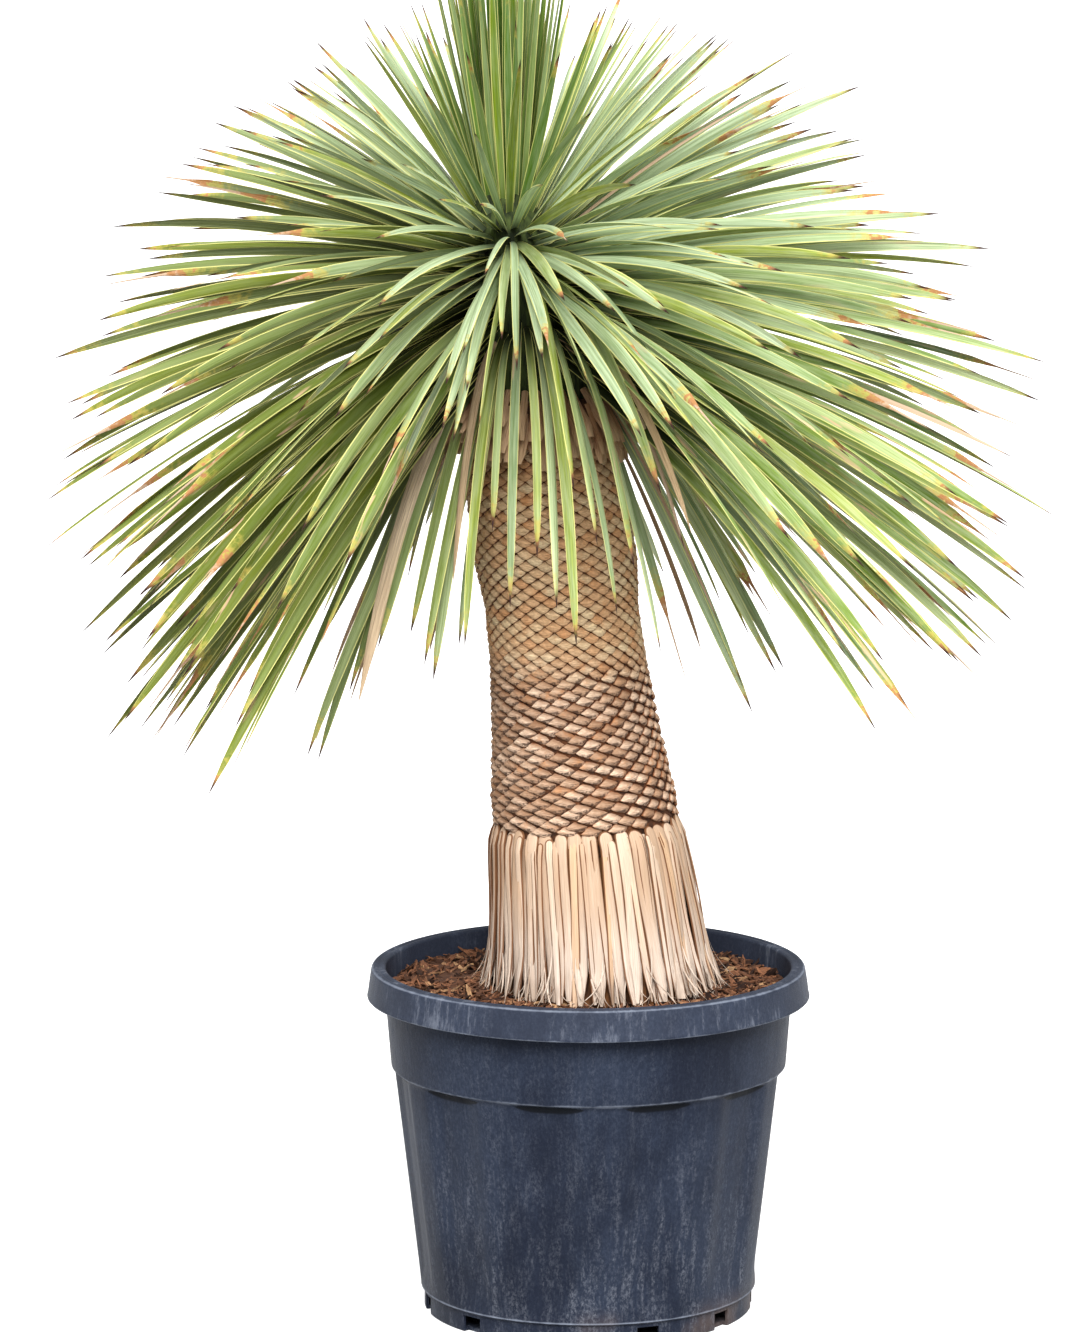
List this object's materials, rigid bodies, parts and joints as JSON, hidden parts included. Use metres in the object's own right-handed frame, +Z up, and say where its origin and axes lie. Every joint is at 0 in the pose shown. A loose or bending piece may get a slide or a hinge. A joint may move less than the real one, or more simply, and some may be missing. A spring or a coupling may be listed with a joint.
{
  "type": "potted beaked yucca",
  "caption": "Beaked yucca on a leaning scaly trunk with a straw skirt and a round head of narrow stiff leaves, in a fluted plastic nursery pot filled with bark mix.",
  "frame": {"origin": "middle of the pot's underside, on the surface that the pot stands on", "axes": "+Z up, -Y towards the picture's viewer, +X to that viewer's right"},
  "size_m": [1.1281, 1.1015, 1.6237],
  "materials": {
    "pot": "slate blue moulded plastic with pale dust and scuffs",
    "bark_mix": "coarse red-brown bark chips and compost",
    "trunk": "tan leaf bases with dark brown grooves",
    "dead_leaf_skirt": "dry fibrous straw",
    "cut_leaf_collar": "dry brown leaf bases",
    "green_leaf_head": "waxy blue-green leaves with yellow margins and brown tips"
  },
  "bodies": {
    "root": {"pot": "pot", "bark_mix": "bark_mix", "trunk": "trunk", "dead_leaf_skirt": "dead_leaf_skirt", "cut_leaf_collar": "cut_leaf_collar", "green_leaf_head": "green_leaf_head"}
  },
  "joints": []
}
